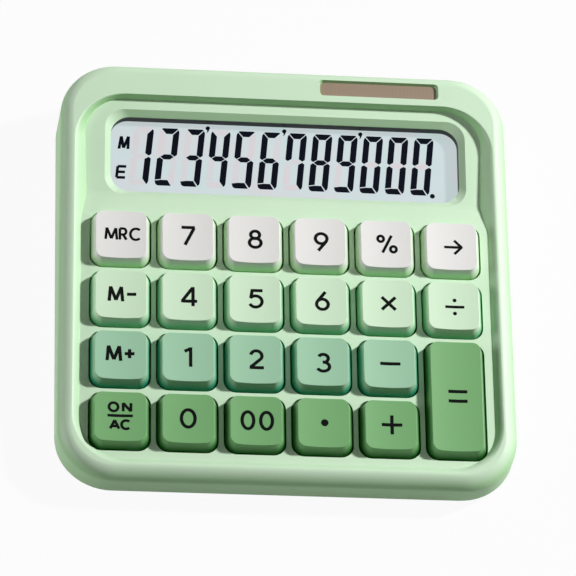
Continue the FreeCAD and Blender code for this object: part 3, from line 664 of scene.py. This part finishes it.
def makeLegend(name):
    piece = joinAll(legendShapes(name), "legend_" + name)
    shift, nudge = legend["shift"], legend["nudge"].get(name, (0, 0))
    hover = cap["rise"] + legend["hover"]
    spot = keySpots[name] + Vector((shift[0] + nudge[0], shift[1] + nudge[1], hover))
    placeAt(piece, Matrix.Translation(spot * mm) @ Matrix.Scale(legend["grow"], 4))
    target = copyOf(caps[name], "target")
    placeAt(target, toDeck)
    applyModifier(
        piece, "SHRINKWRAP", target=target, wrap_method="PROJECT", use_project_z=True,
        use_negative_direction=True, use_positive_direction=False, offset=legend["lift"] * mm,
    )
    bpy.data.objects.remove(target)
    applyModifier(piece, "SOLIDIFY", thickness=legend["ink"] * mm, offset=1)
    placeAt(piece, deckPlace)
    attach(piece, "key_body_" + name)
    return piece


legends = {name: makeLegend(name) for name in keySpots}
print("legends", len(legends))


# display digits

digits = {
    "shown": "123456789000",
    "first": (-43.97, 0.95),
    "pitch": 7.87,
    "width": 6.0,
    "height": 19.3,
    "thickness": 1.9,
    "slant": 5.65,
    "lift": 0.02,
    "ghostLift": 0.008,
    "marked": (2, 5, 8),  # figures with a thousands mark after them
    "mark": (3.65, 10.2, 0.68, 16),
    "markTail": [(4.25, 10.0), (3.95, 9.0), (3.45, 8.5), (3.6, 9.3), (3.3, 9.8)],
    "point": (3.05, -8.82, 0.78),
    "signs": {"M": (0, 5.2, 2.75, 4.2), "E": (0.2, -4.65, 2.6, 3.7)},
    "signX": -49.75,
    "signStroke": 0.9,
}
litSegments = {
    "0": "abcdef", "1": "bc", "2": "abged", "3": "abgcd", "4": "fgbc",
    "5": "afgcd", "6": "afgedc", "7": "abcf", "8": "abcdefg", "9": "abcdfg",
}


def segmentOutlines():
    w, h, t = digits["width"] / 2, digits["height"] / 2, digits["thickness"]
    upper = [
        (w - t, h - t - 0.28), (w - 0.42, h - 0.52), (w - 0.1, h - 0.95), (w, h - 1.5), (w, 0.75),
        (w - 0.75, 0.2), (w - t, 0.95),
    ]
    lower = [
        (w - t, -0.95), (w - 0.75, -0.2), (w, -0.75), (w, -h + 1.4), (w - 0.15, -h + 0.75),
        (w - 0.55, -h + 0.3), (w - t, -h + t + 0.2),
    ]
    return {
        "a": [
            (-w + 0.5, h - 0.25), (-w + 0.85, h), (w - 0.85, h), (w - 0.5, h - 0.25),
            (w - t - 0.14, h - t), (-w + t + 0.14, h - t),
        ],
        "b": upper,
        "c": lower,
        "d": [
            (-w, -h + t - 0.3), (-w + t, -h + t), (w - t - 0.2, -h + t), (w - 0.85, -h),
            (-w + 1.1, -h), (-w + 0.4, -h + 0.45),
        ],
        "e": [(-w, -0.75), (-w + 0.75, -0.2), (-w + t, -0.95), (-w + t, -h + t + 0.28), (-w, -h + t)],
        "f": [(-x, y) for x, y in upper],
        "g": [
            (-w + 0.95, 0), (-w + t + 0.15, 0.85), (w - t - 0.15, 0.85), (w - 0.95, 0),
            (w - t - 0.15, -0.85), (-w + t + 0.15, -0.85),
        ],
    }


def leaning(points, x, y):  # an outline slanted as the figures are, at its place on the glass
    lean = math.tan(math.radians(digits["slant"]))
    return [(x + px + py * lean, y + py) for px, py in points]


def figureSpots():
    x, y = digits["first"]
    return [(figure, x + index * digits["pitch"], y) for index, figure in enumerate(digits["shown"])]


def layOnGlass(shapes, name, lift):
    piece = joinAll(shapes, name)
    applyModifier(piece, "SOLIDIFY", thickness=lift * mm, offset=1)
    placeAt(piece, facetPlace @ Matrix.Translation((0, 0, (lift - window["glassDepth"]) * mm)))
    return piece


def makeDigits():
    outlines, spots = segmentOutlines(), figureSpots()
    shapes = []
    for index, (figure, x, y) in enumerate(spots):
        marks = [outlines[key] for key in litSegments[figure]]
        if index in digits["marked"]:
            marks += [disc(*digits["mark"]), digits["markTail"]]
        shapes += [flatShape("segment", [leaning(points, x, y)]) for points in marks]
    pointX, pointY, pointRadius = digits["point"]
    shapes.append(flatShape("dot", [disc(spots[-1][1] + pointX, pointY, pointRadius)]))
    for name, place in digits["signs"].items():
        for points in letter(name, *place):
            stroke = ribbon(points, digits["signStroke"])
            shapes.append(flatShape("sign", [leaning(outline, digits["signX"], 0) for outline in stroke]))
    piece = layOnGlass(shapes, "displayDigits", digits["lift"])
    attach(piece, "case")
    return piece


def makeGhosts():  # unlit segments, which show as a faint tint
    outlines = segmentOutlines()
    shapes = []
    for figure, x, y in figureSpots():
        unlit = [key for key in outlines if key not in litSegments[figure]]
        shapes += [flatShape("ghost", [leaning(outlines[key], x, y)]) for key in unlit]
    piece = layOnGlass(shapes, "displayGhosts", digits["ghostLift"])
    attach(piece, "case")
    return piece


displayDigits = makeDigits()
displayGhosts = makeGhosts()
print("display faces", len(displayDigits.data.polygons))


# finishes, with painted shade on the cap skirts and the case walls and a painted glow on the display

moulded = {
    "drift": 0.03,
    "driftScale": 38.0,
    "driftDetail": 3.0,
    "grain": 2500.0,
    "grainDetail": 2.0,
    "relief": 0.06,
    "reliefDepth": 0.1,
    "glossDrift": 0.06,
    "specular": 0.3,
    "cloudDetail": 2.0,
}
white = (1, 1, 1, 1)


def newGroup(name, inputs, outputs):
    group = bpy.data.node_groups.new(name, "ShaderNodeTree")
    for label, kind, start in inputs:
        socket = group.interface.new_socket(label, in_out="INPUT", socket_type=kind)
        socket.default_value = start
    for label, kind in outputs:
        group.interface.new_socket(label, in_out="OUTPUT", socket_type=kind)
    return group, group.nodes.new("NodeGroupInput"), group.nodes.new("NodeGroupOutput")


def mouldedGrainGroup():  # fine pebble of a moulded surface, and slow drift in tint and gloss
    inputs = [
        ("Tint", "NodeSocketColor", white),
        ("Drift", "NodeSocketFloat", moulded["drift"]),
        ("Grain size", "NodeSocketFloat", moulded["grain"]),
        ("Gloss", "NodeSocketFloat", 0.5),
    ]
    outputs = [
        ("Color", "NodeSocketColor"),
        ("Roughness", "NodeSocketFloat"),
        ("Height", "NodeSocketFloat"),
    ]
    group, given, result = newGroup("mouldedGrain", inputs, outputs)
    nodes, links = group.nodes, group.links
    where = nodes.new("ShaderNodeTexCoord")
    slow = nodes.new("ShaderNodeTexNoise")
    slow.inputs["Scale"].default_value = moulded["driftScale"]
    slow.inputs["Detail"].default_value = moulded["driftDetail"]
    pebble = nodes.new("ShaderNodeTexNoise")
    pebble.inputs["Detail"].default_value = moulded["grainDetail"]
    shade = nodes.new("ShaderNodeMapRange")
    shade.inputs["To Min"].default_value = -1.0
    tilt = nodes.new("ShaderNodeMath")
    tilt.operation = "MULTIPLY_ADD"
    tilt.inputs[2].default_value = 1.0
    tinted = nodes.new("ShaderNodeMix")
    tinted.data_type = "RGBA"
    tinted.blend_type = "MULTIPLY"
    tinted.inputs["Factor"].default_value = 1.0
    gloss = nodes.new("ShaderNodeMath")
    gloss.operation = "MULTIPLY_ADD"
    gloss.inputs[1].default_value = moulded["glossDrift"]
    links.new(where.outputs["Object"], slow.inputs["Vector"])
    links.new(where.outputs["Object"], pebble.inputs["Vector"])
    links.new(given.outputs["Grain size"], pebble.inputs["Scale"])
    links.new(slow.outputs["Fac"], shade.inputs["Value"])
    links.new(shade.outputs["Result"], tilt.inputs[0])
    links.new(given.outputs["Drift"], tilt.inputs[1])
    links.new(given.outputs["Tint"], tinted.inputs["A"])
    links.new(tilt.outputs["Value"], tinted.inputs["B"])
    links.new(shade.outputs["Result"], gloss.inputs[0])
    links.new(given.outputs["Gloss"], gloss.inputs[2])
    links.new(tinted.outputs["Result"], result.inputs["Color"])
    links.new(gloss.outputs["Value"], result.inputs["Roughness"])
    links.new(pebble.outputs["Fac"], result.inputs["Height"])
    return group


mouldedGrain = mouldedGrainGroup()


def fromHex(code):  # a screen colour as the shader's linear one
    channels = [int(code[start:start + 2], 16) / 255 for start in (0, 2, 4)]
    linear = [c / 12.92 if c <= 0.04045 else ((c + 0.055) / 1.055) ** 2.4 for c in channels]
    return (*linear, 1.0)


def overDeck(nodes, links):  # height measured square to the key deck
    where = nodes.new("ShaderNodeTexCoord")
    height = nodes.new("ShaderNodeVectorMath")
    height.operation = "DOT_PRODUCT"
    height.inputs[1].default_value = deckUp
    links.new(where.outputs["Object"], height.inputs[0])
    return height.outputs["Value"]


def upwardLean(nodes, links):  # 1 on a level face and 0 on one that stands up
    where = nodes.new("ShaderNodeTexCoord")
    apart = nodes.new("ShaderNodeSeparateXYZ")
    links.new(where.outputs["Normal"], apart.inputs["Vector"])
    return apart.outputs["Z"]


def sideShadeGroup(name, side, measure, edges):  # painted shade: a colour that deepens towards the sides of a piece, where shade falls
    inputs = [("Top", "NodeSocketColor", white), (side, "NodeSocketColor", white)]
    group, given, result = newGroup(name, inputs, [("Color", "NodeSocketColor")])
    nodes, links = group.nodes, group.links
    fade = nodes.new("ShaderNodeMapRange")
    fade.interpolation_type = "SMOOTHSTEP"
    fade.inputs["From Min"].default_value, fade.inputs["From Max"].default_value = edges
    tint = nodes.new("ShaderNodeMix")
    tint.data_type = "RGBA"
    links.new(measure(nodes, links), fade.inputs["Value"])
    links.new(fade.outputs["Result"], tint.inputs["Factor"])
    links.new(given.outputs[side], tint.inputs["A"])
    links.new(given.outputs["Top"], tint.inputs["B"])
    links.new(tint.outputs["Result"], result.inputs["Color"])
    return group


deckUp = deckPlace.to_3x3() @ Vector((0, 0, 1))
deckLevel = deckUp.dot(deckPlace.translation)
# painted shade on the cap skirts by height over the deck, and on the case walls by how far a face stands up
skirtShadeEdges = [deckLevel + height * mm for height in cap["skirtShade"]]
skirtShade = sideShadeGroup("skirtShade", "Skirt", overDeck, skirtShadeEdges)
wallShade = sideShadeGroup("wallShade", "Wall", upwardLean, case["wallShade"])


def mouldedMaterial(name, look):
    material = bpy.data.materials.new(name)
    material.use_nodes = True
    nodes, links = material.node_tree.nodes, material.node_tree.links
    shader = nodes["Principled BSDF"]
    grain = nodes.new("ShaderNodeGroup")
    grain.node_tree = mouldedGrain
    grain.inputs["Tint"].default_value = fromHex(look["colour"])
    grain.inputs["Gloss"].default_value = look["gloss"]
    bump = nodes.new("ShaderNodeBump")
    bump.inputs["Strength"].default_value = look.get("relief", moulded["relief"])
    bump.inputs["Distance"].default_value = moulded["reliefDepth"] * mm
    links.new(grain.outputs["Color"], shader.inputs["Base Color"])
    links.new(grain.outputs["Roughness"], shader.inputs["Roughness"])
    links.new(grain.outputs["Height"], bump.inputs["Height"])
    links.new(bump.outputs["Normal"], shader.inputs["Normal"])
    shader.inputs["Metallic"].default_value = look.get("metal", 0.0)
    shader.inputs["Specular IOR Level"].default_value = look.get("specular", moulded["specular"])
    # painted shade: skirts and walls take a deeper colour in place of the plain tint
    for kind, group in (("skirt", skirtShade), ("wall", wallShade)):
        if kind in look:
            sides = nodes.new("ShaderNodeGroup")
            sides.node_tree = group
            sides.inputs["Top"].default_value = fromHex(look["colour"])
            sides.inputs[kind.capitalize()].default_value = fromHex(look[kind])
            links.new(sides.outputs["Color"], grain.inputs["Tint"])
    return material


def patchesInto(material, shader, grain, look):  # cloudy tints of a polarised display, with a painted glow: the glass gives off part of its colour, so shadows on it stay faint
    nodes, links = material.node_tree.nodes, material.node_tree.links
    where = nodes.new("ShaderNodeTexCoord")
    tint = None
    for scale, colour, edges in look["patches"]:
        cloud = nodes.new("ShaderNodeTexNoise")
        cloud.inputs["Scale"].default_value = scale
        cloud.inputs["Detail"].default_value = moulded["cloudDetail"]
        share = nodes.new("ShaderNodeMapRange")
        share.inputs["From Min"].default_value, share.inputs["From Max"].default_value = edges
        share.inputs["To Max"].default_value = look["patchShare"]
        mix = nodes.new("ShaderNodeMix")
        mix.data_type = "RGBA"
        mix.inputs["B"].default_value = fromHex(colour)
        links.new(where.outputs["Object"], cloud.inputs["Vector"])
        links.new(cloud.outputs["Fac"], share.inputs["Value"])
        links.new(share.outputs["Result"], mix.inputs["Factor"])
        if tint:
            links.new(tint, mix.inputs["A"])
        else:
            mix.inputs["A"].default_value = fromHex(look["colour"])
        tint = mix.outputs["Result"]
    # painted light: the lit colour is lowered by the glow share, which comes back as emission
    darker = nodes.new("ShaderNodeMix")
    darker.data_type = "RGBA"
    darker.blend_type = "MULTIPLY"
    darker.inputs["Factor"].default_value = 1.0
    darker.inputs["B"].default_value = (1 - look["glow"],) * 3 + (1.0,)
    links.new(tint, darker.inputs["A"])
    links.new(darker.outputs["Result"], grain.inputs["Tint"])
    links.new(tint, shader.inputs["Emission Color"])
    shader.inputs["Emission Strength"].default_value = look["glow"]


def stripesInto(material, grain, look):  # thin upright lines between the strips of the solar cell
    nodes, links = material.node_tree.nodes, material.node_tree.links
    where = nodes.new("ShaderNodeTexCoord")
    apart = nodes.new("ShaderNodeSeparateXYZ")
    count = nodes.new("ShaderNodeMath")
    count.operation = "MULTIPLY"
    count.inputs[1].default_value = 1 / (look["strip"] * mm)
    wrap = nodes.new("ShaderNodeMath")
    wrap.operation = "FRACT"
    line = nodes.new("ShaderNodeMapRange")
    line.inputs["From Min"].default_value = look["line"] / look["strip"]
    line.inputs["From Max"].default_value = 0.0
    mix = nodes.new("ShaderNodeMix")
    mix.data_type = "RGBA"
    mix.inputs["A"].default_value = fromHex(look["colour"])
    mix.inputs["B"].default_value = fromHex(look["lineColour"])
    links.new(where.outputs["Object"], apart.inputs["Vector"])
    links.new(apart.outputs["X"], count.inputs[0])
    links.new(count.outputs["Value"], wrap.inputs[0])
    links.new(wrap.outputs["Value"], line.inputs["Value"])
    links.new(line.outputs["Result"], mix.inputs["Factor"])
    links.new(mix.outputs["Result"], grain.inputs["Tint"])


finishes = {
    # painted shade: the "wall" colour darkens the upright and sloping faces of the case, which stand in shade
    "case": {"colour": "CFE9CB", "wall": "ABD6A2", "gloss": 0.45},
    "base": {"colour": "BBDBB5", "gloss": 0.5},
    "black_plastic": {"colour": "101214", "gloss": 0.5},
    # painted light: the "glow" of the display glass makes it shine though it is no lamp
    "lcd_glass": {
        "colour": "D0DCDF", "gloss": 0.35, "relief": 0.0, "specular": 0.15,
        "glow": 0.8, "patchShare": 0.55,
        "patches": [(60.0, "DCD3D7", (0.5, 0.72)), (75.0, "C3DEDD", (0.52, 0.75))],
    },
    "ribbon": {"colour": "B98A3E", "gloss": 0.35},
    "solar_glass": {
        "colour": "998674", "gloss": 0.3, "relief": 0.0,
        "strip": 1.2, "line": 0.16, "lineColour": "8E7B6A",
    },
    "board": {"colour": "1F6B3A", "gloss": 0.4},
    # painted shade: the "skirt" colours darken and green the sides of the caps, which stand in shade
    "key_white": {"colour": "ECEBE8", "skirt": "C6ECB9", "gloss": 0.42, "specular": 0.38},
    "key_light_green": {"colour": "D5EFD0", "skirt": "76C48F", "gloss": 0.42, "specular": 0.38},
    "key_teal_green": {"colour": "A0CCAB", "skirt": "1A9670", "gloss": 0.42, "specular": 0.38},
    "key_mid_green": {"colour": "76AC70", "skirt": "0E5C10", "gloss": 0.42, "specular": 0.38},
    "stem_plastic": {"colour": "E5E5E0", "gloss": 0.5},
    "housing_plastic": {"colour": "16181A", "gloss": 0.55},
    "dome_rubber": {"colour": "9A9C9B", "gloss": 0.7},
    "screw_steel": {"colour": "A5A7AA", "gloss": 0.35, "metal": 1.0},
    "foot_rubber": {"colour": "202223", "gloss": 0.8, "relief": 0.2},
    "cell_wrap": {"colour": "2A3A4C", "gloss": 0.35},
    "contact_steel": {"colour": "B9BABB", "gloss": 0.3, "metal": 1.0},
    "legend_ink": {"colour": "060807", "gloss": 0.7, "specular": 0.06},
    "segment_ink": {"colour": "060A16", "gloss": 0.6, "specular": 0.04},
    # painted light: the unlit segments glow like the glass, though they are no lamp
    "ghost_ink": {
        "colour": "D7D4D8", "gloss": 0.35, "relief": 0.0, "specular": 0.15,
        "glow": 0.8, "patchShare": 0.5,
        "patches": [(90.0, "DDD0D4", (0.45, 0.7)), (75.0, "CEDADD", (0.5, 0.7))],
    },
}
materials = {}
for name, look in finishes.items():
    material = mouldedMaterial(name, look)
    shader = material.node_tree.nodes["Principled BSDF"]
    grain = material.node_tree.nodes["Group"]
    if "patches" in look:
        patchesInto(material, shader, grain, look)
    if "strip" in look:
        stripesInto(material, grain, look)
    materials[name] = material


def wear(piece, name):
    piece.data.materials.clear()
    piece.data.materials.append(materials[name])


wear(upperCase, "case")
for name, piece in caps.items():
    wear(piece, keyFinish[name])
    wear(legends[name], "legend_ink")
wear(displayDigits, "segment_ink")
wear(displayGhosts, "ghost_ink")
for entry in frame["record"]["subparts"]:
    node = frame["nodes"][entry["node"]]
    for place in node.material_slots:
        place.link = "OBJECT"
        place.material = materials[entry["material_slot"]]
print("finishes", len(materials))


# studio

studio = {
    "floor": 3.0,  # this and the lamps are in metres
    "floorDrop": 0.05,  # in millimetres
    "paper": 0.65,
    "paperRoughness": 0.9,
    "paperGlow": 0.94,
    "keySpot": (0.95, 0.31, 0.835),
    "keySize": 0.11,
    "keyPower": 19.8,
    "topSpot": (0.0, 0.1, 1.2),
    "topSize": 0.7,
    "topPower": 0.6,
    "fillSpot": (-1.2, -0.05, 0.22),
    "fillSize": 0.6,
    "fillPower": 6.5,
    "skyStrength": 0.04,
}
view = {
    "spot": (-121.426, -583.099, 983.820),
    "turn": (30.7887, -6.3492, -1.4174),
    "lens": 235.86,
    "sensor": 36.0,
    "farthest": 20.0,  # in metres
}


def seenDirectly(nodes, links):  # 1 where the camera, a gloss or clear glass looks at the surface
    rays = nodes.new("ShaderNodeLightPath")
    seen = rays.outputs["Is Camera Ray"]
    for name in ("Is Glossy Ray", "Is Transmission Ray"):
        either = nodes.new("ShaderNodeMath")
        either.operation = "MAXIMUM"
        links.new(seen, either.inputs[0])
        links.new(rays.outputs[name], either.inputs[1])
        seen = either.outputs["Value"]
    return seen


def makeFloor():
    deselectAll()
    drop = (0, 0, -studio["floorDrop"] * mm)  # just clear of the feet
    bpy.ops.mesh.primitive_plane_add(size=studio["floor"], location=drop)
    floor = bpy.context.object
    floor.name = "floor"
    material = bpy.data.materials.new("floorPaper")
    material.use_nodes = True
    nodes, links = material.node_tree.nodes, material.node_tree.links
    paper = nodes["Principled BSDF"]
    paper.inputs["Base Color"].default_value = (studio["paper"],) * 3 + (1,)
    paper.inputs["Roughness"].default_value = studio["paperRoughness"]
    glow = nodes.new("ShaderNodeEmission")
    glow.inputs["Color"].default_value = white
    share = nodes.new("ShaderNodeMath")
    share.operation = "MULTIPLY"
    share.inputs[1].default_value = studio["paperGlow"]
    blend = nodes.new("ShaderNodeMixShader")
    links.new(seenDirectly(nodes, links), share.inputs[0])
    links.new(share.outputs["Value"], blend.inputs["Fac"])
    links.new(paper.outputs["BSDF"], blend.inputs[1])
    links.new(glow.outputs["Emission"], blend.inputs[2])
    links.new(blend.outputs["Shader"], nodes["Material Output"].inputs["Surface"])
    floor.data.materials.append(material)


def makeLamp(name):
    spot = studio[name + "Spot"]
    deselectAll()
    bpy.ops.object.light_add(type="AREA", location=spot)
    lamp = bpy.context.object
    lamp.name = name + "Lamp"
    lamp.data.size = studio[name + "Size"]
    lamp.data.energy = studio[name + "Power"]
    lamp.rotation_euler = Vector(spot).to_track_quat("Z", "Y").to_euler()


def makeSky():
    world = bpy.data.worlds.new("studio")
    bpy.context.scene.world = world
    world.use_nodes = True
    nodes, links = world.node_tree.nodes, world.node_tree.links
    sky = nodes["Background"]
    sky.inputs["Color"].default_value = white
    strength = nodes.new("ShaderNodeMapRange")
    strength.inputs["To Min"].default_value = studio["skyStrength"]
    strength.inputs["To Max"].default_value = 1.0
    links.new(seenDirectly(nodes, links), strength.inputs["Value"])
    links.new(strength.outputs["Result"], sky.inputs["Strength"])


def makeCamera():
    eye = bpy.data.cameras.new("view")
    eye.lens = view["lens"]
    eye.sensor_width = view["sensor"]
    eye.clip_end = view["farthest"]
    camera = bpy.data.objects.new("view", eye)
    bpy.context.scene.collection.objects.link(camera)
    camera.location = [spot * mm for spot in view["spot"]]
    camera.rotation_euler = [math.radians(angle) for angle in view["turn"]]
    bpy.context.scene.camera = camera


makeFloor()
for lampName in ("key", "top", "fill"):
    makeLamp(lampName)
makeSky()
makeCamera()
bpy.context.scene.view_settings.view_transform = "Standard"
print("studio ready")

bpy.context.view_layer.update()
